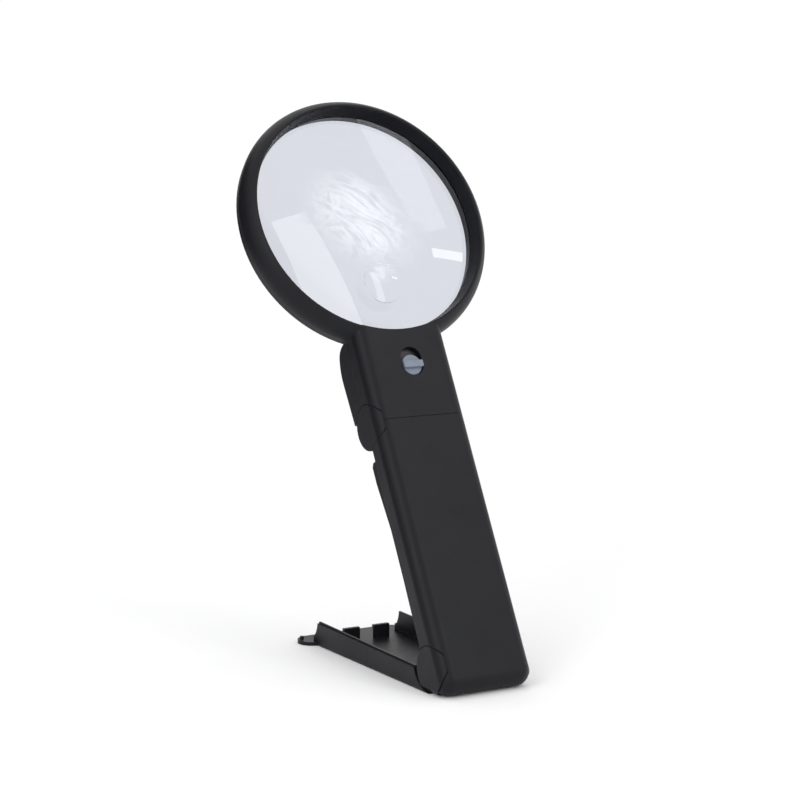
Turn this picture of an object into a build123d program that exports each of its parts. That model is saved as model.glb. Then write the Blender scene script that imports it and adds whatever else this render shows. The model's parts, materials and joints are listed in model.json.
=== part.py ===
from build123d import *
import os
from math import cos, radians, sin, sqrt

# Lit hand lens whose handle cover folds out as a stand.  Millimetres.
# +X runs across the handle, +Y to the rear, +Z up.  The origin is the middle of
# the foot's underside.  The foot lies flat, the handle leans back over it, and
# the head stands in line with the handle.
#
# Side outlines are drawn as (a, b): a is rearward, b is up along the handle.

# ---- driving dimensions ----
LEAN = 28.0  # handle's lean from the vertical, degrees
BAR_WIDTH = 42.0  # handle, neck and foot
FRONT = 9.8  # hinge axis to the front face
REAR = 11.4  # hinge axis to the closed foot's outer face
EDGE_ROUND = 5.5  # long front edges
END_ROUND = 6.5  # handle's lower front edge, seen from the side
WALL = 1.9
SPLIT = 0.2  # visible joint between two mouldings

HINGE_SPACING = 103.2
HINGE_HEIGHT = 10.0  # lower hinge disc above the table
FOOT_MIDDLE = 52.0  # origin to the lower hinge disc, along Y
DISC_RADIUS = 9.6
DISC_GAP = 0.3
DISC_INNER = BAR_WIDTH / 2 - 2.9  # discs lie between this and the bar's side
CHORD_DISTANCE = 8.15  # flat on the upper disc
CHORD_ANGLE = 245.4

PIVOT_OFFSET = 2.6  # foot pivot behind the lower disc's centre
PIN_CLEARANCE = 0.05
UPPER_PIN_RADIUS = 2.0
FOOT_PIN_RADIUS = 1.6
EAR_INNER = DISC_INNER - 3.5  # handle ears, between this and DISC_INNER
EAR_RADIUS = 6.4
LOWER_EAR_RADIUS = 6.4
BARREL_RADIUS = 7.3
KNUCKLE_OUTER = EAR_INNER - 0.4  # barrel and foot lugs end here
LUG_INNER = KNUCKLE_OUTER - 4.0
LUG_RADIUS = 4.4
WASHER_THICKNESS = 0.3

LENS_DISTANCE = 90.6  # upper hinge to lens centre
RING_RADIUS = 56.8
REAR_RING_RADIUS = 56.4
CREST_RADIUS = 52.8
OPENING_RADIUS = 51.8
SEAT_RADIUS = 50.5
LENS_RADIUS = 51.7
SEAT_FRONT = 3.15  # front shell's lens seat, ahead of the hinge plane
SEAT_REAR = 1.1
LENS_EDGE_FRONT = 2.9
LENS_EDGE_REAR = 1.25
LENS_FRONT_SAG = 4.5
LENS_REAR_SAG = 2.4
RING_SPLIT = 0.3  # parting plane of the ring, ahead of the hinge plane
RING_BACK = 4.4  # ring's rear face, behind the hinge plane
SPOT_RADIUS = 9.0
SPOT_SAG = 1.2
SPOT_STEP = 0.15  # its rim above the lens
SPOT_DISTANCE = 29.0
NECK_TOP = 43.0
NECK_CAVITY_TOP = 35.5

SLOT_WIDTH = 9.6
SLOT_LENGTH = 12.6
SLOT_UP = 24.3
SLOT_ACROSS = 1.5
BUTTON_RADIUS = 4.55

FOOT_FLOOR = 1.6
FOOT_WALL = 1.6
FOOT_NEAR_HEIGHT = 8.4
FOOT_FAR_HEIGHT = 10.1
LIP_HEIGHT = 0.7
LIP_THICKNESS = 0.8
FOOT_FRONT = -3.6  # from the lower hinge, along Y
WALL_END = 99.0
BAR_LENGTH = 52.2  # finger bar across the foot's end
BAR_DEPTH = 13.4
BAR_AT = 102.8
POST_ACROSS = 7.3
POST_WIDTH = 7.6
POST_AT = 89.7
POST_THICKNESS = 1.2
POST_TOP = 7.6

TRAY_HALF = BAR_WIDTH / 2 - 2.5
TRAY_FRONT = -7.7
TRAY_ROUND = 3.8
TRAY_BOTTOM = 10.0
TRAY_TOP = 90.3
TRAY_FLAT = 6.5  # rear face over the battery door
TRAY_HUMP = 8.8  # rear face by the latch
CELL_RADIUS = 5.2
CELL_LENGTH = 44.0
CELL_BOTTOM = 14.6
CELL_BACK = -1.1  # cells' axis
BAY_HALF = TRAY_HALF - 1.4
BAY_BOTTOM = 12.0
BAY_TOP = 61.6
DOOR_THICKNESS = 1.6
SCREW_HEAD_RADIUS = 2.3
SCREW_RADIUS = 1.1
BOSS_RADIUS = 2.6
TRAY_SCREWS = [(-11, 69), (11, 69)]  # across and up from the lower hinge
HEAD_SCREWS = [(-12.5, 15), (12.5, 15)]  # across and up from the upper hinge

# ---- directions, points and planes ----
lean = radians(LEAN)
UP = Vector(0, sin(lean), cos(lean))
BACK = Vector(0, cos(lean), -sin(lean))
HALF = BAR_WIDTH / 2
lower_hinge = Vector(0, -FOOT_MIDDLE, HINGE_HEIGHT)
upper_hinge = lower_hinge + UP * HINGE_SPACING
foot_pivot = lower_hinge + BACK * PIVOT_OFFSET
lens_centre = upper_hinge + UP * LENS_DISTANCE
lens_axis = Axis(lens_centre, -BACK)
spot_height = LENS_EDGE_FRONT + LENS_FRONT_SAG * (1 - (SPOT_DISTANCE / LENS_RADIUS) ** 2)
spot_slope = 2 * LENS_FRONT_SAG * SPOT_DISTANCE / LENS_RADIUS**2
spot_centre = lens_centre - UP * SPOT_DISTANCE - BACK * spot_height
spot_normal = (-BACK - UP * spot_slope).normalized()
PIVOT_Y = foot_pivot.Y - lower_hinge.Y
PIVOT_Z = foot_pivot.Z

handle_side = Plane(origin=lower_hinge, x_dir=BACK, z_dir=(1, 0, 0))
head_side = Plane(origin=upper_hinge, x_dir=BACK, z_dir=(1, 0, 0))
foot_side = Plane(origin=(0, lower_hinge.Y, 0), x_dir=(0, 1, 0), z_dir=(1, 0, 0))
ring_section = Plane(origin=lens_centre, x_dir=(1, 0, 0), z_dir=-UP)
spot_section = Plane(origin=spot_centre, x_dir=(1, 0, 0), z_dir=Vector(1, 0, 0).cross(spot_normal))


def facing_front(hinge, depth):
    """A plane square to the bar's front, at a distance behind the hinge axis."""
    return Plane(origin=hinge + BACK * depth, x_dir=(1, 0, 0), z_dir=-BACK)


def half_way(radius, sag):
    """A spherical cap's height above its rim, at half its radius."""
    ball = (radius**2 + sag**2) / (2 * sag)
    return sag - ball + sqrt(ball**2 - radius**2 / 4)


def save(piece, name):
    """Label a finished piece and write it."""
    piece.part.label = name
    export_step(piece.part, f"parts/{name}.step")


# ---- forms that several pieces share ----
def handle_form(inset):
    """The closed handle, drawn in by a wall: rounded front, rounded lower end."""
    front = inset - FRONT
    ground = inset - HINGE_HEIGHT + SPLIT

    def on_ground(a):
        return (ground + a * sin(lean)) / cos(lean)

    top = HINGE_SPACING + 15
    with BuildPart() as form:
        with BuildSketch(handle_side):
            with BuildLine():
                Polyline(
                    (front, top),
                    (front, on_ground(front)),
                    (REAR, on_ground(REAR)),
                    (REAR, top),
                    close=True,
                )
            make_face()
            fillet(vertices().sort_by(Axis.Y)[0], END_ROUND - inset)
        extrude(amount=HALF - inset, both=True)
        rounded = []
        for edge in form.edges():
            middle = handle_side.to_local_coords(edge.center())
            on_side = abs(abs(middle.Z) - HALF + inset) < 0.01
            if on_side and middle.X < REAR - 0.1 and middle.Y < top - 0.1:
                rounded.append(edge)
        fillet(rounded, EDGE_ROUND - inset)
    return form.part


def neck_form(outline, inset):
    """A side outline of the neck as wide as the bar, its long front edges rounded."""
    with BuildPart() as form:
        with BuildSketch(head_side):
            with BuildLine():
                Polyline(*outline, close=True)
            make_face()
        extrude(amount=HALF - inset, both=True)
        rounded = []
        for edge in form.edges():
            middle = head_side.to_local_coords(edge.center())
            on_side = abs(abs(middle.Z) - HALF + inset) < 0.01
            if on_side and abs(middle.X + FRONT - inset) < 0.01:
                rounded.append(edge)
        fillet(rounded, EDGE_ROUND - inset)
    return form.part


def straight_bar(plane):
    """A stretch of the bar round a hinge, front edges rounded, that trims the discs."""
    with BuildPart() as form:
        with BuildSketch(plane):
            Rectangle(4 * DISC_RADIUS, 4 * DISC_RADIUS)
            with Locations((-FRONT - 2 * DISC_RADIUS, 0)):
                Rectangle(4 * DISC_RADIUS, 4 * DISC_RADIUS, mode=Mode.SUBTRACT)
        extrude(amount=HALF, both=True)
        rounded = []
        for edge in form.edges():
            middle = plane.to_local_coords(edge.center())
            on_side = abs(abs(middle.Z) - HALF) < 0.01
            if on_side and abs(middle.X + FRONT) < 0.01:
                rounded.append(edge)
        fillet(rounded, EDGE_ROUND)
    return form.part


def disc_solid(plane, side, grow, chord):
    """One hinge disc, or with grow the hole for it, on the left (-1) or right (1)."""
    with BuildPart() as disc:
        with BuildSketch(plane.offset(side * (DISC_INNER - grow / 3))):
            Circle(DISC_RADIUS + grow)
            if chord:
                away = CHORD_DISTANCE + grow / 2 + DISC_RADIUS
                with PolarLocations(away, 1, start_angle=CHORD_ANGLE):
                    Rectangle(2 * DISC_RADIUS, 4 * DISC_RADIUS, mode=Mode.SUBTRACT)
        extrude(amount=side * (HALF - DISC_INNER + grow))
    return disc.part


handle_outer = handle_form(0)
handle_inner = handle_form(WALL)
SIDES = {"left": -1, "right": 1}

# ---- handle: front shell ----
REAR_EDGE_LOW = 2.7  # shell's rear edge, at the lower and the upper hinge
REAR_EDGE_HIGH = 1.0
TOP_CORNER = HINGE_SPACING - 11.5
SNAP_UP = 62.5
SNAP_LENGTH = 7.0
with BuildPart() as handle_front_shell:
    add(handle_outer)
    add(handle_inner, mode=Mode.SUBTRACT)
    with BuildSketch(handle_side):
        with BuildLine():
            Polyline(
                (-FRONT - 5, -20),
                (0, -20),
                (0, 0),
                (REAR_EDGE_LOW, 0),
                (REAR_EDGE_LOW, DISC_RADIUS),
                (REAR_EDGE_HIGH, TOP_CORNER),
                (0.9, HINGE_SPACING - DISC_RADIUS),
                (0.9, HINGE_SPACING - SPLIT / 2),
                (-FRONT - 5, HINGE_SPACING - SPLIT / 2),
                close=True,
            )
        make_face()
    extrude(amount=BAR_WIDTH, both=True, mode=Mode.INTERSECT)
    for side in SIDES.values():
        add(disc_solid(handle_side, side, DISC_GAP, False), mode=Mode.SUBTRACT)
        add(disc_solid(head_side, side, DISC_GAP, True), mode=Mode.SUBTRACT)
    # rebate inside the rear edge that takes the foot's lip
    with BuildSketch(handle_side):
        with BuildLine():
            Polyline(
                (REAR_EDGE_LOW - 1.1, DISC_RADIUS),
                (REAR_EDGE_LOW + 1, DISC_RADIUS),
                (REAR_EDGE_HIGH + 1, HINGE_SPACING - 7),
                (REAR_EDGE_HIGH - 1.1, HINGE_SPACING - 7),
                close=True,
            )
        make_face()
    extrude(amount=HALF - 0.65, both=True, mode=Mode.SUBTRACT)
    # snap slots in the rear edge
    with BuildSketch(handle_side):
        with Locations((1.6, SNAP_UP)):
            Rectangle(1.6, SNAP_LENGTH)
    extrude(amount=BAR_WIDTH, both=True, mode=Mode.SUBTRACT)
    # screw bosses
    with BuildSketch(facing_front(lower_hinge, -FRONT + WALL - 0.5)):
        with Locations(*TRAY_SCREWS):
            Circle(BOSS_RADIUS)
            Circle(SCREW_RADIUS, mode=Mode.SUBTRACT)
    extrude(amount=-(FRONT - WALL + 0.5 + 2.9))
save(handle_front_shell, "handle_front_shell")

# ---- handle: battery tray, which also carries the hinge ears ----
with BuildPart() as battery_tray:
    with BuildSketch(handle_side):
        with BuildLine():
            Polyline(
                (TRAY_FRONT, TRAY_BOTTOM),
                (TRAY_FLAT, TRAY_BOTTOM),
                (TRAY_FLAT, 61.0),
                (TRAY_HUMP, 81.5),
                (TRAY_HUMP, TRAY_TOP - 1.5),
                (TRAY_HUMP - 1.5, TRAY_TOP),
                (TRAY_FRONT, TRAY_TOP),
                close=True,
            )
        make_face()
    extrude(amount=TRAY_HALF, both=True)
    front_face = battery_tray.faces().sort_by(Axis(lower_hinge, BACK))[0]
    fillet(front_face.edges().filter_by(Axis(lower_hinge, UP)), TRAY_ROUND)
    with BuildSketch(facing_front(lower_hinge, TRAY_HUMP + 1)):
        with Locations((0, (BAY_BOTTOM + BAY_TOP) / 2)):
            Rectangle(2 * BAY_HALF, BAY_TOP - BAY_BOTTOM)
    extrude(amount=TRAY_HUMP + 1 - TRAY_FRONT - 1.2, mode=Mode.SUBTRACT)
    # hollow behind the latch, open to the front
    with BuildSketch(facing_front(lower_hinge, TRAY_FRONT)):
        with Locations((0, 76.5)):
            Rectangle(2 * BAY_HALF, 25.0)
    extrude(amount=-(TRAY_FLAT - 2 - TRAY_FRONT), mode=Mode.SUBTRACT)
    # notches for the foot's latch posts
    with BuildSketch(facing_front(lower_hinge, 1.0)):
        with Locations((-POST_ACROSS, TRAY_TOP), (POST_ACROSS, TRAY_TOP)):
            Rectangle(POST_WIDTH + 1, 8.4)
    extrude(amount=-TRAY_HUMP, mode=Mode.SUBTRACT)
    # ears at both hinges, with their legs and pin holes
    for side in SIDES.values():
        with BuildSketch(handle_side.offset(side * EAR_INNER)):
            with Locations((0, HINGE_SPACING)):
                Circle(EAR_RADIUS)
            with Locations((PIVOT_OFFSET, 0)):
                Circle(LOWER_EAR_RADIUS)
            with BuildLine():
                Polyline(
                    (TRAY_FRONT + 1.5, TRAY_TOP - 1),
                    (3, TRAY_TOP - 1),
                    (5, HINGE_SPACING),
                    (TRAY_FRONT + 1.5, HINGE_SPACING),
                    close=True,
                )
            make_face()
            with BuildLine():
                Polyline(
                    (-4, TRAY_BOTTOM + 1),
                    (TRAY_FLAT - 0.5, TRAY_BOTTOM + 1),
                    (PIVOT_OFFSET + 5.5, 2),
                    (PIVOT_OFFSET - 5.5, 0),
                    close=True,
                )
            make_face()
        extrude(amount=side * (DISC_INNER - EAR_INNER))
    with BuildSketch(handle_side):
        with Locations((0, HINGE_SPACING)):
            Circle(UPPER_PIN_RADIUS + PIN_CLEARANCE)
        with Locations((PIVOT_OFFSET, 0)):
            Circle(FOOT_PIN_RADIUS + PIN_CLEARANCE)
    extrude(amount=DISC_INNER + 1, both=True, mode=Mode.SUBTRACT)
    # holes for the two tray screws and the door screw
    with BuildSketch(facing_front(lower_hinge, TRAY_HUMP + 1)):
        with Locations(*TRAY_SCREWS):
            Circle(SCREW_RADIUS + 0.2)
    extrude(amount=TRAY_HUMP, mode=Mode.SUBTRACT)
    with BuildSketch(facing_front(lower_hinge, TRAY_HUMP + 1)):
        with Locations(*TRAY_SCREWS):
            Circle(SCREW_HEAD_RADIUS + 0.2)
    extrude(amount=3.4, mode=Mode.SUBTRACT)
save(battery_tray, "battery_tray")

# ---- handle: battery door and its screw ----
DOOR_SCREW_UP = BAY_TOP - 2.2
with BuildPart() as battery_door:
    with BuildSketch(facing_front(lower_hinge, TRAY_FLAT)):
        with Locations((0, (BAY_BOTTOM + BAY_TOP) / 2)):
            RectangleRounded(2 * BAY_HALF - 0.4, BAY_TOP - BAY_BOTTOM - 0.4, 0.8)
    extrude(amount=DOOR_THICKNESS)
    fillet(battery_door.edges().group_by(Axis.Z)[-1], 0.3)
    with BuildSketch(facing_front(lower_hinge, TRAY_FLAT)):
        with Locations((0, DOOR_SCREW_UP)):
            Circle(SCREW_RADIUS + 0.1)
    extrude(amount=DOOR_THICKNESS, mode=Mode.SUBTRACT)
    # grip ribs
    with BuildSketch(facing_front(lower_hinge, TRAY_FLAT)):
        with Locations((0, 50)):
            with GridLocations(0, 1.6, 1, 5):
                SlotOverall(12, 0.8)
    extrude(amount=-0.4)
save(battery_door, "battery_door")


def screw(hinge, depth, points, shank):
    """Pan-head screws driven from the rear at points across and up a bar."""
    with BuildPart() as screws:
        with BuildSketch(facing_front(hinge, depth)):
            with Locations(*points):
                Circle(SCREW_HEAD_RADIUS)
        extrude(amount=1.2)
        fillet(screws.edges(), 0.25)
        with BuildSketch(facing_front(hinge, depth - 1.1)):
            with Locations(*points):
                Circle(SCREW_RADIUS - 0.05)
        extrude(amount=shank)
        with BuildSketch(facing_front(hinge, depth)):
            with Locations(*points):
                Rectangle(2.6, 0.6)
                Rectangle(0.6, 2.6)
        extrude(amount=0.7, mode=Mode.SUBTRACT)
    return screws


battery_door_screw = screw(lower_hinge, TRAY_FLAT + 1.2, [(0, DOOR_SCREW_UP)], 1.9)
save(battery_door_screw, "battery_door_screw")
tray_screws = screw(lower_hinge, TRAY_HUMP - 1.2, TRAY_SCREWS, 8.0)
save(tray_screws, "tray_screws")

# ---- handle: three cells, their springs and contacts ----
CELL_PITCH = 2 * CELL_RADIUS + 0.2
for name, place in {"left": -1, "middle": 0, "right": 1}.items():
    turned = 180 if place == 0 else 0
    foot_of_cell = (
        lower_hinge
        + BACK * CELL_BACK
        + UP * (CELL_BOTTOM + (CELL_LENGTH if turned else 0))
        + Vector(place * CELL_PITCH, 0, 0)
    )
    along = UP * (-1 if turned else 1)
    with BuildPart() as battery:
        with BuildSketch(Plane(origin=foot_of_cell, x_dir=(1, 0, 0), z_dir=along)):
            Circle(CELL_RADIUS)
        extrude(amount=CELL_LENGTH - 1.0)
        fillet(battery.edges(), 0.4)
        button_base = foot_of_cell + along * (CELL_LENGTH - 1.1)
        with BuildSketch(Plane(origin=button_base, x_dir=(1, 0, 0), z_dir=along)):
            Circle(1.9)
        extrude(amount=1.1)
    save(battery, f"battery_{name}")

with BuildPart() as battery_springs:
    for place in (-1, 0, 1):
        up = CELL_BOTTOM - 2.1 if place else CELL_BOTTOM + CELL_LENGTH + 0.1
        start = lower_hinge + BACK * CELL_BACK + UP * up + Vector(place * CELL_PITCH, 0, 0)
        for turn in range(3):
            coil = Plane(origin=start + UP * (0.35 + 0.68 * turn), x_dir=(1, 0, 0), z_dir=UP)
            with BuildSketch(coil):
                Circle(3.4 - 0.2 * turn)
                Circle(2.7 - 0.2 * turn, mode=Mode.SUBTRACT)
            extrude(amount=0.34, both=True)
save(battery_springs, "battery_springs")

with BuildPart() as contact_plates:
    for up in (BAY_BOTTOM + 0.05, BAY_TOP - 0.45):
        plate = Plane(origin=lower_hinge + UP * up, x_dir=(1, 0, 0), z_dir=UP)
        with BuildSketch(plate):
            with Locations((-CELL_PITCH / 2, CELL_BACK)):
                Rectangle(19.5, 7)
            with Locations((CELL_PITCH, CELL_BACK)):
                Rectangle(8, 7)
        extrude(amount=0.4)
save(contact_plates, "contact_plates")

# ---- handle: hinge covers, pins and washers ----
upper_bar = straight_bar(head_side)
lower_bar = straight_bar(handle_side)
handle_grown = handle_form(-0.8)
for name, side in SIDES.items():
    with BuildPart() as upper_hinge_cap:
        add(disc_solid(head_side, side, 0, True))
        add(upper_bar, mode=Mode.INTERSECT)
    save(upper_hinge_cap, f"upper_hinge_cap_{name}")
    with BuildPart() as lower_hinge_cap:
        add(disc_solid(handle_side, side, 0, False))
        add(lower_bar, mode=Mode.INTERSECT)
        add(handle_grown, mode=Mode.INTERSECT)
    save(lower_hinge_cap, f"lower_hinge_cap_{name}")

with BuildPart() as upper_hinge_pin:
    with BuildSketch(head_side):
        Circle(UPPER_PIN_RADIUS)
    extrude(amount=DISC_INNER - 0.1, both=True)
save(upper_hinge_pin, "upper_hinge_pin")

with BuildPart() as foot_hinge_pin:
    with BuildSketch(handle_side):
        with Locations((PIVOT_OFFSET, 0)):
            Circle(FOOT_PIN_RADIUS)
    extrude(amount=DISC_INNER - 0.1, both=True)
save(foot_hinge_pin, "foot_hinge_pin")


def washers(plane, centre, hole, outer):
    """A pair of flat friction washers, each against the inside of an ear."""
    with BuildPart() as pair:
        for side in SIDES.values():
            with BuildSketch(plane.offset(side * (EAR_INNER - 0.02))):
                with Locations(centre):
                    Circle(outer)
                    Circle(hole, mode=Mode.SUBTRACT)
            extrude(amount=-side * WASHER_THICKNESS)
    return pair


upper_washers = washers(head_side, (0, 0), UPPER_PIN_RADIUS + 0.1, 5.2)
save(upper_washers, "upper_friction_washers")
lower_washers = washers(handle_side, (PIVOT_OFFSET, 0), FOOT_PIN_RADIUS + 0.1, 3.8)
save(lower_washers, "lower_friction_washers")

# ---- head: front shell, with the bezel ring and the hinge barrel ----
NECK_SPLIT_REAR = 3.2  # neck's parting line beside the switch
with BuildPart() as head_front_shell:
    add(
        neck_form(
            [
                (-FRONT, SPLIT / 2),
                (-FRONT, NECK_TOP),
                (-RING_SPLIT - SPLIT / 2, NECK_TOP),
                (-RING_SPLIT - SPLIT / 2, 35),
                (0.9, 29),
                (NECK_SPLIT_REAR, 21),
                (NECK_SPLIT_REAR, SPLIT / 2),
            ],
            0,
        )
    )
    add(
        neck_form(
            [
                (WALL - FRONT, -5),
                (WALL - FRONT, NECK_CAVITY_TOP),
                (5, NECK_CAVITY_TOP),
                (5, -5),
            ],
            WALL,
        ),
        mode=Mode.SUBTRACT,
    )
    # bezel: a hollow channel, convex outside, its crest near the opening
    with BuildSketch(ring_section):
        with BuildLine():
            Line((LENS_RADIUS + 0.2, RING_SPLIT + 0.1), (LENS_RADIUS + 0.2, SEAT_FRONT))
            Line((LENS_RADIUS + 0.2, SEAT_FRONT), (SEAT_RADIUS, SEAT_FRONT))
            Line((SEAT_RADIUS, SEAT_FRONT), (OPENING_RADIUS, FRONT - 0.6))
            ThreePointArc(
                (OPENING_RADIUS, FRONT - 0.6),
                (OPENING_RADIUS + 0.35, FRONT - 0.13),
                (CREST_RADIUS, FRONT),
            )
            ThreePointArc(
                (CREST_RADIUS, FRONT),
                (RING_RADIUS - 1.15, FRONT * 0.66),
                (RING_RADIUS, RING_SPLIT + 0.1),
            )
            Polyline(
                (RING_RADIUS, RING_SPLIT + 0.1),
                (RING_RADIUS - 1.6, RING_SPLIT + 0.1),
                (RING_RADIUS - 2.4, 5.2),
                (CREST_RADIUS + 0.9, 7.6),
                (CREST_RADIUS + 0.6, RING_SPLIT + 0.1),
                (LENS_RADIUS + 0.2, RING_SPLIT + 0.1),
            )
        make_face()
    revolve(axis=lens_axis)
    # the opening, with the lens seat behind it
    with BuildSketch(ring_section):
        with BuildLine():
            Polyline(
                (0, -12),
                (LENS_RADIUS + 0.2, -12),
                (LENS_RADIUS + 0.2, SEAT_FRONT),
                (SEAT_RADIUS, SEAT_FRONT),
                (OPENING_RADIUS, FRONT - 0.6),
                (OPENING_RADIUS, FRONT + 3),
                (0, FRONT + 3),
                close=True,
            )
        make_face()
    revolve(axis=lens_axis, mode=Mode.SUBTRACT)
    # switch slot
    with BuildSketch(facing_front(upper_hinge, -FRONT - 1)):
        with Locations((SLOT_ACROSS, SLOT_UP)):
            SlotOverall(SLOT_LENGTH, SLOT_WIDTH, rotation=90)
    extrude(amount=-WALL - 2, mode=Mode.SUBTRACT)
    for side in SIDES.values():
        add(disc_solid(head_side, side, DISC_GAP, False), mode=Mode.SUBTRACT)
    # hinge barrel and its web
    with BuildSketch(head_side):
        Circle(BARREL_RADIUS)
        with BuildLine():
            Polyline(
                (WALL - FRONT - 0.3, 0.4),
                (WALL - FRONT - 0.3, 12),
                (-5, 12),
                (0, 5),
                (0, 0.4),
                close=True,
            )
        make_face()
    extrude(amount=KNUCKLE_OUTER, both=True)
    with BuildSketch(head_side):
        Circle(UPPER_PIN_RADIUS + PIN_CLEARANCE)
    extrude(amount=BAR_WIDTH, both=True, mode=Mode.SUBTRACT)
    # screw bosses
    with BuildSketch(facing_front(upper_hinge, WALL - FRONT - 0.5)):
        with Locations(*HEAD_SCREWS):
            Circle(BOSS_RADIUS)
            Circle(SCREW_RADIUS, mode=Mode.SUBTRACT)
    extrude(amount=-(FRONT - WALL + 3.5))
save(head_front_shell, "head_front_shell")

# ---- head: rear shell, with the ring's back and the bulged neck cover ----
COVER_BOTTOM = 5.0
COVER_OUT = 12.5
HEAD_SCREW_SEAT = 10.7
REAR_WALL = 1.6  # ring's back is a channel, open to the front
REAR_CHANNEL_INNER = LENS_RADIUS + 1.1


def cover_outline(inset, bottom):
    """The neck cover's rear outline, drawn in by a wall."""
    with BuildLine() as line:
        rise = Line((REAR - inset, bottom), (COVER_OUT - 0.1 - inset, 24))
        turn = JernArc(start=rise @ 1, tangent=rise % 1, radius=24 - inset, arc_size=26)
        nose = JernArc(start=turn @ 1, tangent=turn % 1, radius=7.5 - inset, arc_size=52)
        Line(nose @ 1, nose @ 1 + (nose % 1) * 2.5)
    return line.wires()[0]


cover_back = cover_outline(0, COVER_BOTTOM)
cavity_back = cover_outline(WALL, -5)
with BuildPart() as cover_form:
    with BuildSketch(head_side):
        with BuildLine():
            add(cover_back)
            Polyline(
                cover_back @ 1,
                (SPLIT - RING_SPLIT, (cover_back @ 1).Y),
                (SPLIT - RING_SPLIT, COVER_BOTTOM),
                (REAR, COVER_BOTTOM),
            )
        make_face()
    extrude(amount=HALF, both=True)
    rounded = []
    for edge in cover_form.edges():
        middle = head_side.to_local_coords(edge.center())
        if abs(abs(middle.Z) - HALF) < 0.01 and middle.X > 2 and middle.Y > COVER_BOTTOM + 0.1:
            rounded.append(edge)
    fillet(rounded, 1.6)
    with BuildSketch(head_side):
        with BuildLine():
            Polyline(
                (-3, 37),
                (SPLIT - RING_SPLIT, 37),
                (0.9 + SPLIT, 29),
                (NECK_SPLIT_REAR + SPLIT, 21),
                (NECK_SPLIT_REAR + SPLIT, 0),
                (-3, 0),
                close=True,
            )
        make_face()
    extrude(amount=BAR_WIDTH, both=True, mode=Mode.SUBTRACT)

with BuildPart() as cover_cavity:
    with BuildSketch(head_side):
        with BuildLine():
            add(cavity_back)
            Polyline(cavity_back @ 1, (-3, NECK_CAVITY_TOP), (-3, -5), (REAR - WALL, -5))
        make_face()
    extrude(amount=HALF - WALL, both=True)

WINDOW_ANGLE = 40.0  # window's normal, from rearward towards up
WINDOW_BACK = 9.3
WINDOW_UP = 36.0
window_point = upper_hinge + BACK * WINDOW_BACK + UP * WINDOW_UP
window_normal = BACK * cos(radians(WINDOW_ANGLE)) + UP * sin(radians(WINDOW_ANGLE))
window_plane = Plane(origin=window_point, x_dir=(1, 0, 0), z_dir=window_normal)
with BuildPart() as head_rear_shell:
    add(cover_form)
    add(cover_cavity, mode=Mode.SUBTRACT)
    with BuildSketch(ring_section):
        with BuildLine():
            Polyline(
                (SEAT_RADIUS - 0.2, -RING_BACK),
                (SEAT_RADIUS - 0.2, SEAT_REAR),
                (LENS_RADIUS, SEAT_REAR),
                (LENS_RADIUS, RING_SPLIT - 0.1),
                (REAR_CHANNEL_INNER, RING_SPLIT - 0.1),
                (REAR_CHANNEL_INNER, REAR_WALL - RING_BACK),
                (REAR_RING_RADIUS - REAR_WALL, REAR_WALL - RING_BACK),
                (REAR_RING_RADIUS - REAR_WALL, RING_SPLIT - 0.1),
                (REAR_RING_RADIUS, RING_SPLIT - 0.1),
                (REAR_RING_RADIUS - 0.3, 1.3 - RING_BACK),
                (REAR_RING_RADIUS - 0.7, 0.5 - RING_BACK),
                (REAR_RING_RADIUS - 1.4, -RING_BACK),
                close=True,
            )
        make_face()
    revolve(axis=lens_axis)
    with BuildSketch(facing_front(lens_centre, COVER_OUT + 2)):
        Circle(SEAT_RADIUS - 0.2)
    extrude(amount=COVER_OUT + 4, mode=Mode.SUBTRACT)
    for side in SIDES.values():
        add(disc_solid(head_side, side, DISC_GAP, False), mode=Mode.SUBTRACT)
    # window opening
    with BuildSketch(window_plane.offset(3)):
        RectangleRounded(18.4, 5.4, 1.2)
    extrude(amount=-6.5, mode=Mode.SUBTRACT)
    # counterbored screw holes
    with BuildSketch(facing_front(upper_hinge, COVER_OUT + 1)):
        with Locations(*HEAD_SCREWS):
            Circle(SCREW_RADIUS + 0.2)
    extrude(amount=6, mode=Mode.SUBTRACT)
    with BuildSketch(facing_front(upper_hinge, COVER_OUT + 1)):
        with Locations(*HEAD_SCREWS):
            Circle(SCREW_HEAD_RADIUS + 0.2)
    extrude(amount=COVER_OUT + 1 - HEAD_SCREW_SEAT, mode=Mode.SUBTRACT)
save(head_rear_shell, "head_rear_shell")

head_screws = screw(upper_hinge, HEAD_SCREW_SEAT + 1.2, HEAD_SCREWS, 9.0)
save(head_screws, "head_screws")

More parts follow.
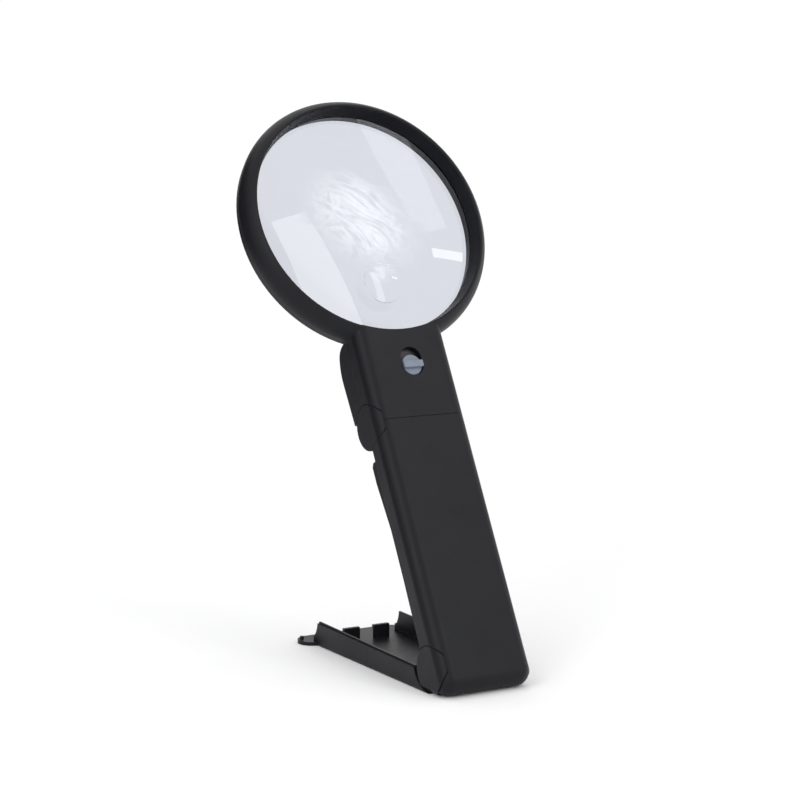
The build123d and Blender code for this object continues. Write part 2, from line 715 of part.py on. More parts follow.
# ---- head: lens with its spot lens ----
with BuildPart() as lens:
    with BuildSketch(ring_section):
        with BuildLine():
            Line((0, LENS_EDGE_REAR - LENS_REAR_SAG), (0, LENS_EDGE_FRONT + LENS_FRONT_SAG))
            ThreePointArc(
                (0, LENS_EDGE_FRONT + LENS_FRONT_SAG),
                (LENS_RADIUS / 2, LENS_EDGE_FRONT + half_way(LENS_RADIUS, LENS_FRONT_SAG)),
                (LENS_RADIUS, LENS_EDGE_FRONT),
            )
            Line((LENS_RADIUS, LENS_EDGE_FRONT), (LENS_RADIUS, LENS_EDGE_REAR))
            ThreePointArc(
                (LENS_RADIUS, LENS_EDGE_REAR),
                (LENS_RADIUS / 2, LENS_EDGE_REAR - half_way(LENS_RADIUS, LENS_REAR_SAG)),
                (0, LENS_EDGE_REAR - LENS_REAR_SAG),
            )
        make_face()
    revolve(axis=lens_axis)
    # the spot lens stands on the front face, its axis square to that face
    with BuildSketch(spot_section):
        with BuildLine():
            Polyline((0, SPOT_SAG), (0, -2), (SPOT_RADIUS, -2), (SPOT_RADIUS, SPOT_STEP))
            ThreePointArc(
                (SPOT_RADIUS, SPOT_STEP),
                (SPOT_RADIUS / 2, SPOT_STEP + half_way(SPOT_RADIUS, SPOT_SAG - SPOT_STEP)),
                (0, SPOT_SAG),
            )
        make_face()
    revolve(axis=Axis(spot_centre, spot_normal))
save(lens, "lens")

# ---- head: the light ----
with BuildPart() as led_window:
    with BuildSketch(window_plane.offset(-1.2)):
        RectangleRounded(18.0, 5.0, 1.0)
    extrude(amount=1.3)
    fillet(led_window.edges().group_by(Axis(window_point, window_normal))[-1], 0.4)
save(led_window, "led_window")

BOARD_DEPTH = -2.4  # board's front face, behind the hinge axis
with BuildPart() as led_board:
    with BuildSketch(facing_front(upper_hinge, BOARD_DEPTH)):
        with Locations((0, 25.5)):
            RectangleRounded(30, 14, 1)
    extrude(amount=-1.2)
    # resistors
    with BuildSketch(facing_front(upper_hinge, BOARD_DEPTH + 1.2)):
        with Locations((0, 20)):
            with GridLocations(6, 0, 3, 1):
                Rectangle(2, 1.25)
    extrude(amount=-0.6)
save(led_board, "led_board")

for name, side in SIDES.items():
    led_plane = Plane(
        origin=window_point - window_normal * 7.2 + Vector(side * 5.0, 0, 0),
        x_dir=(1, 0, 0),
        z_dir=window_normal,
    )
    with BuildPart() as led:
        with BuildSketch(led_plane):
            Circle(1.75)
        extrude(amount=0.8)
        with BuildSketch(led_plane.offset(0.7)):
            Circle(1.5)
        extrude(amount=3.6)
        fillet(led.edges().sort_by(Axis(window_point, window_normal))[-1], 1.4)
    save(led, f"led_{name}")

with BuildPart() as switch_housing:
    with BuildSketch(facing_front(upper_hinge, BOARD_DEPTH)):
        with Locations((SLOT_ACROSS, SLOT_UP - 1)):
            Rectangle(5, 9)
    extrude(amount=3.0)
save(switch_housing, "switch_housing")

# ---- switch button ----
BUTTON_UP = SLOT_UP - SLOT_LENGTH / 2 + SLOT_WIDTH / 2
with BuildPart() as switch_button:
    with BuildSketch(facing_front(upper_hinge, -FRONT + WALL + 0.2)):
        with Locations((SLOT_ACROSS, BUTTON_UP + 0.4)):
            RectangleRounded(14.5, 15.5, 2)
    extrude(amount=-0.9)
    with BuildSketch(facing_front(upper_hinge, -FRONT + WALL + 0.3)):
        with Locations((SLOT_ACROSS, BUTTON_UP)):
            Circle(BUTTON_RADIUS)
    extrude(amount=WALL - 0.2)
    fillet(switch_button.edges().group_by(Axis(upper_hinge, -BACK))[-1], 0.5)
    with BuildSketch(facing_front(upper_hinge, -FRONT + 0.8)):
        with Locations((SLOT_ACROSS, BUTTON_UP)):
            RectangleRounded(2 * BUTTON_RADIUS, 3.0, 0.6)
    extrude(amount=1.9)
    fillet(switch_button.edges().group_by(Axis(upper_hinge, -BACK))[-1], 0.3)
save(switch_button, "switch_button")

# ---- stand foot ----
with BuildPart() as foot_shell:
    with BuildSketch(foot_side):
        with BuildLine():
            Polyline(
                (FOOT_FRONT, 0),
                (WALL_END, 0),
                (WALL_END, FOOT_FAR_HEIGHT),
                (FOOT_FRONT, FOOT_NEAR_HEIGHT),
                close=True,
            )
        make_face()
    extrude(amount=HALF, both=True)
    fillet(foot_shell.edges().filter_by(Axis.Y).group_by(Axis.Z)[0], 1.0)
    with BuildSketch(foot_side):
        with BuildLine():
            Polyline(
                (FOOT_FRONT - 1, FOOT_FLOOR),
                (WALL_END + 1, FOOT_FLOOR),
                (WALL_END + 1, 20),
                (FOOT_FRONT - 1, 20),
                close=True,
            )
        make_face()
    extrude(amount=HALF - FOOT_WALL, both=True, mode=Mode.SUBTRACT)
    # thin lip along the inside of each wall's top, and a ledge along its base
    for side in SIDES.values():
        with BuildSketch(foot_side.offset(side * (HALF - FOOT_WALL))):
            with BuildLine():
                Polyline(
                    (FOOT_FRONT, FOOT_NEAR_HEIGHT - 1),
                    (WALL_END, FOOT_FAR_HEIGHT - 1),
                    (WALL_END, FOOT_FAR_HEIGHT + LIP_HEIGHT),
                    (FOOT_FRONT, FOOT_NEAR_HEIGHT + LIP_HEIGHT),
                    close=True,
                )
            make_face()
        extrude(amount=side * LIP_THICKNESS)
        with BuildSketch(foot_side.offset(side * (HALF - FOOT_WALL))):
            with Locations((58, FOOT_FLOOR + 0.4)):
                Rectangle(80, 1.2)
        extrude(amount=-side * 0.8)
    # concave wall ends
    with BuildSketch(foot_side):
        with Locations((PIVOT_Y, PIVOT_Z + PIVOT_OFFSET)):
            Circle(DISC_RADIUS + 0.5)
        with Locations((0, HINGE_HEIGHT)):
            Circle(DISC_RADIUS + 0.4)
        with Locations((PIVOT_Y - 1.3, PIVOT_Z + PIVOT_OFFSET - 0.3)):
            Circle(DISC_RADIUS + 0.5)
        with Locations((-6, 8)):
            Rectangle(14, 20)
    extrude(amount=BAR_WIDTH, both=True, mode=Mode.SUBTRACT)
    with BuildSketch(foot_side):
        with Locations((PIVOT_Y + HINGE_SPACING, PIVOT_Z + PIVOT_OFFSET)):
            Circle(DISC_RADIUS + 0.6)
    extrude(amount=BAR_WIDTH, both=True, mode=Mode.SUBTRACT)
    # floor between the discs, and the finger bar
    with BuildSketch(Plane(origin=(0, lower_hinge.Y, 0))):
        with Locations((0, (FOOT_FRONT + 12) / 2)):
            Rectangle(2 * (DISC_INNER - 0.6), 12 - FOOT_FRONT)
        with Locations((0, BAR_AT)):
            SlotOverall(BAR_LENGTH, BAR_DEPTH)
    extrude(amount=FOOT_FLOOR)
    # catch bumps near the finger bar's ends
    with BuildSketch(Plane(origin=(0, lower_hinge.Y, FOOT_FLOOR))):
        with Locations((0, BAR_AT + 2.2)):
            with GridLocations(BAR_LENGTH - 4.8, 0, 2, 1):
                Circle(0.9)
    extrude(amount=1.2)
    # latch posts, each with a hook and a rib behind it
    post_base = Plane(origin=(0, lower_hinge.Y, FOOT_FLOOR))
    with BuildSketch(post_base):
        with Locations((-POST_ACROSS, POST_AT), (POST_ACROSS, POST_AT)):
            Rectangle(POST_WIDTH, POST_THICKNESS)
    extrude(amount=POST_TOP - FOOT_FLOOR)
    with BuildSketch(Plane(origin=(0, lower_hinge.Y, POST_TOP - 1.4))):
        with Locations((-POST_ACROSS, POST_AT + 0.9), (POST_ACROSS, POST_AT + 0.9)):
            Rectangle(POST_WIDTH, 0.8)
    extrude(amount=1.4)
    for side in SIDES.values():
        with BuildSketch(foot_side.offset(side * POST_ACROSS - 0.5)):
            with BuildLine():
                Polyline(
                    (POST_AT, FOOT_FLOOR),
                    (POST_AT + 4, FOOT_FLOOR),
                    (POST_AT + 0.5, POST_TOP - 1.5),
                    (POST_AT, POST_TOP - 1.5),
                    close=True,
                )
            make_face()
        extrude(amount=1.0)
    # hinge lugs
    for side in SIDES.values():
        with BuildSketch(foot_side.offset(side * LUG_INNER)):
            with Locations((PIVOT_Y, PIVOT_Z)):
                Circle(LUG_RADIUS)
            with BuildLine():
                Polyline(
                    (PIVOT_Y - LUG_RADIUS, PIVOT_Z),
                    (PIVOT_Y + LUG_RADIUS, PIVOT_Z),
                    (PIVOT_Y + LUG_RADIUS + 2, FOOT_FLOOR / 2),
                    (PIVOT_Y - LUG_RADIUS, FOOT_FLOOR / 2),
                    close=True,
                )
            make_face()
        extrude(amount=side * (KNUCKLE_OUTER - LUG_INNER))
    with BuildSketch(foot_side):
        with Locations((PIVOT_Y, PIVOT_Z)):
            Circle(FOOT_PIN_RADIUS + PIN_CLEARANCE)
    extrude(amount=BAR_WIDTH, both=True, mode=Mode.SUBTRACT)
save(foot_shell, "foot_shell")
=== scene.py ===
import json
from math import cos, pi, radians, sin, sqrt

import bmesh
import bpy
from mathutils import Matrix, Vector


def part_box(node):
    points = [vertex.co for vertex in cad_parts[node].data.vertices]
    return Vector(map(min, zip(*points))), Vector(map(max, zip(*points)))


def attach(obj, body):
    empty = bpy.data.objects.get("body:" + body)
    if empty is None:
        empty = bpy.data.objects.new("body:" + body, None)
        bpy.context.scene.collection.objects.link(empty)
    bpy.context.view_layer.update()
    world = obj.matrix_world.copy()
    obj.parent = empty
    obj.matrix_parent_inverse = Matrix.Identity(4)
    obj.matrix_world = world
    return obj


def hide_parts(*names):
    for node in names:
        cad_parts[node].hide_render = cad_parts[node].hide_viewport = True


# Lit hand lens standing on its fold-out foot. Metres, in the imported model's frame:
# +X across the handle, +Y to the rear, +Z up, the foot flat on z = 0.

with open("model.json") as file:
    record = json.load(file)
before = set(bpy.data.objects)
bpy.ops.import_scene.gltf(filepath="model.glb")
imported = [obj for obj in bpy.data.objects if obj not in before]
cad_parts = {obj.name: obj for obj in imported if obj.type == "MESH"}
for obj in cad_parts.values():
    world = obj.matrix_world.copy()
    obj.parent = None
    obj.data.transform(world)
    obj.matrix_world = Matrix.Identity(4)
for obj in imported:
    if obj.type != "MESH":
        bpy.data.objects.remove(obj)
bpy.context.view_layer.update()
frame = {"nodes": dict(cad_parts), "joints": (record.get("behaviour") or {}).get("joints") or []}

MM = 0.001
ACROSS = Vector((1, 0, 0))
joints = {joint["name"]: joint for joint in frame["joints"]}
UP = Vector(joints["switch_slide"]["axis"]).normalized()  # up along the leaning handle
FRONT = ACROSS.cross(UP)  # out of the front face


def span(node, direction):
    """How far a CAD node reaches along a direction: lowest and highest."""
    reach = [direction.dot(vertex.co) for vertex in frame["nodes"][node].data.vertices]
    return min(reach), max(reach)


def middle(node):
    """The middle of a CAD node's box."""
    low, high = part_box(node)
    return (low + high) / 2


# ---- materials: node helpers ----
def add_node(tree, kind, values=None, **settings):
    """A shader node with its settings and the values or links of its inputs."""
    made = tree.nodes.new(kind)
    for name, value in settings.items():
        setattr(made, name, value)
    for name, value in (values or {}).items():
        if isinstance(value, bpy.types.NodeSocket):
            tree.links.new(value, made.inputs[name])
        else:
            made.inputs[name].default_value = value
    return made


def noise(tree, size, detail=2.0, roughness=0.5, stretch=(1, 1, 1), distortion=0.0):
    """Noise from 0 to 1 whose features are about size metres, fixed to the piece."""
    where = add_node(tree, "ShaderNodeTexCoord").outputs["Object"]
    scaled = add_node(tree, "ShaderNodeMapping", {"Vector": where, "Scale": stretch})
    values = {
        "Vector": scaled.outputs["Vector"],
        "Scale": 1 / size,
        "Detail": detail,
        "Roughness": roughness,
        "Distortion": distortion,
    }
    return add_node(tree, "ShaderNodeTexNoise", values).outputs["Fac"]


def mapped(tree, value, to_low, to_high, from_low=0.0, from_high=1.0):
    """A value carried from one range onto another, held at that range's ends."""
    values = {
        "Value": value,
        "From Min": from_low,
        "From Max": from_high,
        "To Min": to_low,
        "To Max": to_high,
    }
    return add_node(tree, "ShaderNodeMapRange", values, clamp=True).outputs["Result"]


def blended(tree, factor, first, second):
    """Two colours, or colour sockets, blended by a factor."""
    made = add_node(tree, "ShaderNodeMix", {"Factor": factor}, data_type="RGBA")
    for socket, colour in ((made.inputs[6], first), (made.inputs[7], second)):
        if isinstance(colour, bpy.types.NodeSocket):
            tree.links.new(colour, socket)
        else:
            socket.default_value = (*colour, 1)
    return made.outputs[2]


def maths(tree, operation, first, second=0.0):
    """One sum on two values or sockets."""
    values = {0: first, 1: second}
    return add_node(tree, "ShaderNodeMath", values, operation=operation).outputs[0]


def bumped(tree, heights, edge=0.0):
    """A normal bumped by (height, metres) pairs, over edges rounded by a radius."""
    normal = None
    if edge:
        normal = add_node(tree, "ShaderNodeBevel", {"Radius": edge}, samples=4).outputs[0]
    for height, distance in heights:
        values = {"Height": height, "Distance": distance, "Strength": 1.0}
        if normal:
            values["Normal"] = normal
        normal = add_node(tree, "ShaderNodeBump", values).outputs["Normal"]
    return normal


def edge_mask(tree, radius):
    """1 along sharp outer and inner edges within a radius, 0 on open faces."""
    soft = add_node(tree, "ShaderNodeBevel", {"Radius": radius}, samples=4).outputs[0]
    true = add_node(tree, "ShaderNodeNewGeometry").outputs["True Normal"]
    same = add_node(tree, "ShaderNodeVectorMath", {0: soft, 1: true}, operation="DOT_PRODUCT")
    return mapped(tree, same.outputs["Value"], 1.0, 0.0, 0.75, 0.99)


def new_material(name, values, links):
    """A Principled material. links is called with the tree and gives linked inputs."""
    material = bpy.data.materials.new(name)
    material.use_nodes = True
    tree = material.node_tree
    shader = tree.nodes["Principled BSDF"]
    for socket, value in values.items():
        shader.inputs[socket].default_value = value
    for socket, output in links(tree).items():
        tree.links.new(output, shader.inputs[socket])
    return material


# ---- materials: one function each ----
SMALL_EDGE = 0.15 * MM  # rounding that small parts' edges catch the light with
SKIN_HEIGHT = 0.006 * MM

EDGE_HIGHLIGHT_PALER = 2.2  # painted highlight on the edges: its colour against the moulding's lighter one
EDGE_HIGHLIGHT_SHARE = 0.35
RUBBED_POLISH = 0.07  # taken off the roughness there
GRAIN_HEIGHT = 0.010 * MM
FLOW_HEIGHT = 0.012 * MM


def moulded_plastic(name, dark, light, roughness, specular):
    """Spark-eroded moulding: fine grain, faint flow marks, edges polished by handling and painted
    paler as a painted highlight.
    """

    def links(tree):
        cloud = noise(tree, 14 * MM, detail=3.0, roughness=0.6)
        fleck = noise(tree, 0.5 * MM, detail=2.0, roughness=0.7)
        # Along the edges: a painted highlight in the colour, and a lower roughness for the
        # polish.
        wear_and_highlight = edge_mask(tree, 0.5 * MM)
        colour = blended(tree, mapped(tree, cloud, 0.0, 0.7, 0.3, 0.7), dark, light)
        flecked = blended(tree, mapped(tree, fleck, 0.0, 0.35, 0.45, 0.8), colour, light)
        # The painted highlight's colour along the edges.
        painted_highlight = [EDGE_HIGHLIGHT_PALER * channel for channel in light]
        edged = blended(tree, maths(tree, "MULTIPLY", wear_and_highlight, EDGE_HIGHLIGHT_SHARE), flecked, painted_highlight)
        smear = noise(tree, 22 * MM, 4.0, 0.65, stretch=(1.0, 1.0, 0.35), distortion=0.6)
        rough = mapped(tree, smear, roughness - 0.05, roughness + 0.06, 0.3, 0.7)
        polished = mapped(tree, wear_and_highlight, 0.0, RUBBED_POLISH)
        grain = noise(tree, 0.35 * MM, detail=3.0, roughness=0.6)
        flow = noise(tree, 9 * MM, detail=1.0)
        heights = [(grain, GRAIN_HEIGHT), (flow, FLOW_HEIGHT)]
        return {
            "Base Color": edged,
            "Roughness": maths(tree, "SUBTRACT", rough, polished),
            "Normal": bumped(tree, heights, edge=0.3 * MM),
        }

    return new_material(name, {"Specular IOR Level": specular}, links)


def turned_metal(name, colour, roughness, stain):
    """Plated metal with fine drawn lines and a little dulling."""

    def links(tree):
        dull = noise(tree, 3 * MM, detail=4.0, roughness=0.6)
        lines = noise(tree, 0.12 * MM, stretch=(0.05, 1.0, 1.0))
        return {
            "Base Color": blended(tree, mapped(tree, dull, 0.0, 0.6, 0.4, 0.75), colour, stain),
            "Roughness": mapped(tree, dull, roughness, roughness + 0.2, 0.3, 0.8),
            "Normal": bumped(tree, [(lines, 0.004 * MM)], SMALL_EDGE),
        }

    return new_material(name, {"Metallic": 1.0}, links)


def clear_moulding(name, tint, roughness, ior, scratch):
    """Clear acrylic: faint hairline marks and a very slightly uneven surface."""

    def links(tree):
        hair = noise(tree, 0.9 * MM, 5.0, 0.7, stretch=(1.0, 0.12, 0.3), distortion=1.5)
        haze = noise(tree, 16 * MM, detail=3.0, roughness=0.6)
        faint = mapped(tree, haze, 0.0, 1.0, 0.3, 0.8)
        paler = [min(1.0, channel * 1.015) for channel in tint]
        marked = mapped(tree, hair, 0.0, scratch, 0.62, 0.8)
        return {
            "Base Color": blended(tree, faint, tint, paler),
            "Roughness": maths(tree, "ADD", marked, roughness),
            "Normal": bumped(tree, [(haze, 0.0015 * MM)]),
        }

    return new_material(name, {"Transmission Weight": 1.0, "IOR": ior}, links)


def soft_solid(name, dark, light, roughness, specular=0.5, size=2 * MM, sheen=0.0):
    """Small opaque parts: two tones mottled together over a faintly uneven skin."""

    def links(tree):
        mottle = noise(tree, size, detail=3.0, roughness=0.6)
        return {
            "Base Color": blended(tree, mapped(tree, mottle, 0.0, 1.0, 0.3, 0.7), dark, light),
            "Roughness": mapped(tree, mottle, roughness - 0.06, roughness + 0.08, 0.3, 0.7),
            "Normal": bumped(tree, [(noise(tree, size / 6), SKIN_HEIGHT)], SMALL_EDGE),
        }

    values = {"Specular IOR Level": specular, "Coat Weight": sheen, "Coat Roughness": 0.15}
    return new_material(name, values, links)


BUTTON_STANDS = 2.6 * MM  # from the top of the button's rib to the dark of its slider


def two_tone_button(name, cap_dark, cap_light, plate):
    """Satin moulded cap on a dark slider plate, told apart by depth behind the front."""

    def links(tree):
        mottle = noise(tree, 3 * MM, detail=3.0, roughness=0.6)
        where = add_node(tree, "ShaderNodeTexCoord").outputs["Object"]
        values = {0: where, 1: FRONT}
        out = add_node(tree, "ShaderNodeVectorMath", values, operation="DOT_PRODUCT")
        split = span("switch_button", FRONT)[1] - BUTTON_STANDS
        is_cap = mapped(tree, out.outputs["Value"], 0.0, 1.0, split, split + 0.1 * MM)
        cap = blended(tree, mapped(tree, mottle, 0.0, 1.0, 0.3, 0.7), cap_dark, cap_light)
        return {
            "Base Color": blended(tree, is_cap, plate, cap),
            "Roughness": mapped(tree, mottle, 0.28, 0.42, 0.3, 0.7),
            "Normal": bumped(tree, [(noise(tree, 0.5 * MM), SKIN_HEIGHT)], SMALL_EDGE),
        }

    return new_material(name, {"Specular IOR Level": 0.4}, links)


MATERIALS = {
    "black_shell": moulded_plastic(
        "black_shell", (0.0052, 0.0053, 0.0078), (0.0080, 0.0082, 0.0110), 0.42, 0.20
    ),
    "black_inner": moulded_plastic(
        "black_inner", (0.0045, 0.0047, 0.0060), (0.0070, 0.0072, 0.0090), 0.50, 0.20
    ),
    "steel": turned_metal("steel", (0.62, 0.63, 0.65), 0.24, (0.42, 0.42, 0.43)),
    "cell_jacket": soft_solid(
        "cell_jacket", (0.16, 0.17, 0.18), (0.22, 0.23, 0.25), 0.3, 0.5, 6 * MM, 0.5
    ),
    "spring_wire": turned_metal("spring_wire", (0.70, 0.69, 0.66), 0.2, (0.5, 0.48, 0.44)),
    "contact_metal": turned_metal("contact_metal", (0.74, 0.62, 0.36), 0.26, (0.5, 0.4, 0.2)),
    "washer": soft_solid("washer", (0.62, 0.60, 0.55), (0.7, 0.68, 0.63), 0.42, 0.4),
    "clear_lens": clear_moulding("clear_lens", (0.67, 0.69, 0.75), 0.0, 1.49, 0.008),
    "window": clear_moulding("window", (0.93, 0.95, 0.97), 0.06, 1.49, 0.12),
    "board": soft_solid("board", (0.70, 0.72, 0.70), (0.78, 0.79, 0.77), 0.4, 0.5, 1.5 * MM),
    "led_resin": clear_moulding("led_resin", (0.96, 0.95, 0.80), 0.03, 1.53, 0.05),
    "switch_metal": turned_metal("switch_metal", (0.55, 0.56, 0.58), 0.3, (0.4, 0.4, 0.42)),
    "grey_button": two_tone_button(
        "grey_button", (0.150, 0.180, 0.235), (0.180, 0.210, 0.265), (0.004, 0.004, 0.005)
    ),
}

for node in frame["nodes"].values():
    slot_name = node.data.materials[0].name.split(".")[0]
    node.data.materials[0] = MATERIALS[slot_name]


# ---- pieces: helpers ----
SHARP_ANGLE = 35  # degrees between faces, past which an edge stays sharp


def to_data(mesh, name):
    """The mesh as data, freed."""
    data = bpy.data.meshes.new(name)
    mesh.to_mesh(data)
    mesh.free()
    return data


def finished(mesh, name):
    """The mesh as data, smooth but for its sharp edges."""
    bmesh.ops.recalc_face_normals(mesh, faces=mesh.faces)
    data = to_data(mesh, name)
    data.shade_smooth()
    data.set_sharp_from_angle(angle=radians(SHARP_ANGLE))
    return data


def add_piece(name, data, body, slot_name, *nodes):
    """A finished mesh as a piece of the object, standing for CAD nodes."""
    piece = bpy.data.objects.new(name, data)
    bpy.context.scene.collection.objects.link(piece)
    data.materials.clear()
    data.materials.append(MATERIALS[slot_name])
    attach(piece, body)
    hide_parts(*nodes)


# ---- lens ----
LENS_FRONT_SAG = 4.5 * MM
LENS_REAR_SAG = 2.8 * MM
LENS_STEPS = 192  # points in each ring
SPOT_RINGS = 12
FACE_RINGS = 28
SPOT_RADIUS = 9.0 * MM
SPOT_DOWN = 29.0 * MM  # from the big lens's middle
SPOT_RISE = 1.05 * MM
SPOT_STEP = 0.15 * MM
SPOT_EDGE = 0.02 * MM  # half the width of the step's slope
lens_up = span("lens", UP)
lens_front = span("lens", FRONT)
lens_radius = (lens_up[1] - lens_up[0]) / 2
lens_middle = UP * (lens_up[0] + lens_up[1]) / 2


def cap_height(distance, radius, sag):
    """A spherical cap's height above its rim, at a distance from its axis."""
    ball = (radius**2 + sag**2) / (2 * sag)
    return sqrt(ball**2 - distance**2) - (ball - sag)


def lens_front_height(x, up):
    """The front face above its rim: the big cap, with the spot lens raised on it."""
    height = cap_height(sqrt(x * x + up * up), lens_radius, LENS_FRONT_SAG)
    away = sqrt(x * x + (up + SPOT_DOWN) ** 2)
    if away < SPOT_RADIUS:
        height += SPOT_STEP + cap_height(away, SPOT_RADIUS, SPOT_RISE)
    return height


def make_lens():
    """Both faces as rings of points, from the spot lens's centre out and from the rear apex."""
    rim_front = lens_front[1] - LENS_FRONT_SAG
    rim_rear = lens_front[0] + LENS_REAR_SAG
    mesh = bmesh.new()

    def place(x, up, out):
        return mesh.verts.new(lens_middle + ACROSS * x + UP * up + FRONT * out)

    def ring(radius, centre_up, height):
        points = []
        for step in range(LENS_STEPS):
            turn = 2 * pi * step / LENS_STEPS
            x = radius * cos(turn)
            up = centre_up + radius * sin(turn)
            points.append(place(x, up, height(x, up)))
        return points

    def front(x, up):
        return rim_front + lens_front_height(x, up)

    def rear(x, up):
        distance = min(sqrt(x * x + up * up), lens_radius)
        return rim_rear - cap_height(distance, lens_radius, LENS_REAR_SAG)

    rings = []
    for part in range(1, SPOT_RINGS + 1):
        radius = (SPOT_RADIUS - SPOT_EDGE) * part / SPOT_RINGS
        rings.append(ring(radius, -SPOT_DOWN, front))
    outside = SPOT_RADIUS + SPOT_EDGE
    for part in range(FACE_RINGS + 1):
        share = part / FACE_RINGS
        radius = outside + (lens_radius - outside) * share
        rings.append(ring(radius, -SPOT_DOWN * (1 - share), front))
    for part in range(FACE_RINGS + 1):
        radius = lens_radius * (1 - part / (FACE_RINGS + 2))
        rings.append(ring(radius, 0.0, rear))
    spot_apex = place(0, -SPOT_DOWN, front(0, -SPOT_DOWN))
    rear_apex = place(0, 0, rear(0, 0))
    for step in range(LENS_STEPS):
        after = (step + 1) % LENS_STEPS
        mesh.faces.new((spot_apex, rings[0][step], rings[0][after]))
        for inner, outer in zip(rings, rings[1:]):
            mesh.faces.new((inner[step], outer[step], outer[after], inner[after]))
        mesh.faces.new((rings[-1][step], rear_apex, rings[-1][after]))
    return finished(mesh, "magnifier_lens")


add_piece("magnifier_lens", make_lens(), "head", "clear_lens", "lens")


# ---- cells ----
LATHE_STEPS = 48


def lathe(mesh, base, along, profile):
    """A turned solid: (radius, height) pairs from the axis at one end to the other."""
    side = along.cross(ACROSS).normalized()
    other = along.cross(side)
    rings = []
    for radius, height in profile[1:-1]:
        ring = []
        for step in range(LATHE_STEPS):
            turn = 2 * pi * step / LATHE_STEPS
            out = side * cos(turn) * radius + other * sin(turn) * radius
            ring.append(mesh.verts.new(base + along * height + out))
        rings.append(ring)
    first = mesh.verts.new(base + along * profile[0][1])
    last = mesh.verts.new(base + along * profile[-1][1])
    for step in range(LATHE_STEPS):
        after = (step + 1) % LATHE_STEPS
        mesh.faces.new((first, rings[0][after], rings[0][step]))
        for low, high in zip(rings, rings[1:]):
            mesh.faces.new((low[step], low[after], high[after], high[step]))
        mesh.faces.new((last, rings[-1][step], rings[-1][after]))


# Outlines in millimetres, as (radius, height). The shoulder's first number is measured
# in from the side instead.
CELL_RADIUS = 5.2
CELL_NUB = 1.0 * MM  # button's top above the shoulder
BASE_OUTLINE = [(0, 0.35), (3.6, 0.35), (3.8, 0.05), (4.5, 0.0), (4.9, 0.12), (CELL_RADIUS, 0.5)]
SHOULDER_OUTLINE = [(0, -0.9), (0.12, -0.5), (0.5, -0.12), (1.1, 0), (1.5, -0.3)]
CAP_OUTLINE = [(2.6, -0.3), (2.3, -0.05), (1.9, 0.1)]
NUB_OUTLINE = [(1.85, -0.2), (1.6, 0), (0, 0)]


def make_cell(node, turned):
    """A cell in its sleeve: crimped shoulders, a recessed base and a stepped button."""
    low, high = span(node, UP)
    across = span(node, ACROSS)
    depth = span(node, FRONT)
    radius = (across[1] - across[0]) / 2
    length = high - low
    along = -UP if turned else UP
    base = ACROSS * (across[0] + across[1]) / 2 + FRONT * (depth[0] + depth[1]) / 2
    base += UP * (high if turned else low)
    shoulder = length - CELL_NUB
    profile = [(radius * out / CELL_RADIUS, up * MM) for out, up in BASE_OUTLINE]
    profile += [(radius - inward * MM, shoulder + up * MM) for inward, up in SHOULDER_OUTLINE]
    profile += [(out * MM, shoulder + up * MM) for out, up in CAP_OUTLINE]
    profile += [(out * MM, length + up * MM) for out, up in NUB_OUTLINE]
    mesh = bmesh.new()
    lathe(mesh, base, along, profile)
    return finished(mesh, node + "_sleeved")


for side in ("left", "middle", "right"):
    cell = "battery_" + side
    add_piece(cell + "_sleeved", make_cell(cell, side == "middle"), "handle", "cell_jacket", cell)


# ---- springs ----
SPRING_HEIGHT = 2.0 * MM  # compressed
SPRING_RADIUS = 3.08 * MM
SPRING_TAPER = 0.45 * MM
SPRING_TURNS = 2.75
SPRING_STEPS = 100
WIRE_RADIUS = 0.30 * MM
WIRE_STEPS = 10


def make_springs():
    """Three tapering coils of round wire; the middle one is at its cell's other end."""
    pitch = span("battery_right", ACROSS)[1] - span("battery_middle", ACROSS)[1]
    depth = span("battery_springs", FRONT)
    axis_depth = FRONT * (depth[0] + depth[1]) / 2
    low, high = span("battery_springs", UP)
    mesh = bmesh.new()
    for place in (-1, 0, 1):
        start = high - SPRING_HEIGHT if place == 0 else low
        rings = []
        for step in range(SPRING_STEPS + 1):
            share = step / SPRING_STEPS
            turn = 2 * pi * SPRING_TURNS * share
            radius = SPRING_RADIUS - SPRING_TAPER * share
            rise = start + WIRE_RADIUS + (SPRING_HEIGHT - 2 * WIRE_RADIUS) * share
            outward = ACROSS * cos(turn) + FRONT * sin(turn)
            centre = ACROSS * pitch * place + axis_depth + UP * rise + outward * radius
            ring = []
            for corner in range(WIRE_STEPS):
                angle = 2 * pi * corner / WIRE_STEPS
                offset = (outward * cos(angle) + UP * sin(angle)) * WIRE_RADIUS
                ring.append(mesh.verts.new(centre + offset))
            rings.append(ring)
        for one, two in zip(rings, rings[1:]):
            for corner in range(WIRE_STEPS):
                after = (corner + 1) % WIRE_STEPS
                mesh.faces.new((one[corner], one[after], two[after], two[corner]))
        mesh.faces.new(rings[0])
        mesh.faces.new(rings[-1])
    return finished(mesh, "coil_springs")


add_piece("coil_springs", make_springs(), "handle", "spring_wire", "battery_springs")

# ---- floor, light and camera ----
scene = bpy.context.scene
scene.view_settings.view_transform = "Standard"

LOOK_TURN = 29.55  # degrees; the camera stands to the left of the front
LOOK_RISE = 7.61
LOOK_ROLL = -0.35
LOOK_DISTANCE = 0.9386
LOOK_LENS = 104.86
SENSOR_WIDTH = 36
LOOK_ASIDE = Vector((-0.0192, 0.0044))  # the view's middle, from the point it turns about
LOOK_ABOUT = Vector((0, -0.032, 0.110))


def towards(turn, rise):
    """A direction given by degrees to the right of the front and above the horizon."""
    a, e = radians(turn), radians(rise)
    return Vector((sin(a) * cos(e), -cos(a) * cos(e), sin(e)))


def in_scene(name, data):
    """A new object of the stage, linked to the scene."""
    made = bpy.data.objects.new(name, data)
    scene.collection.objects.link(made)
    return made


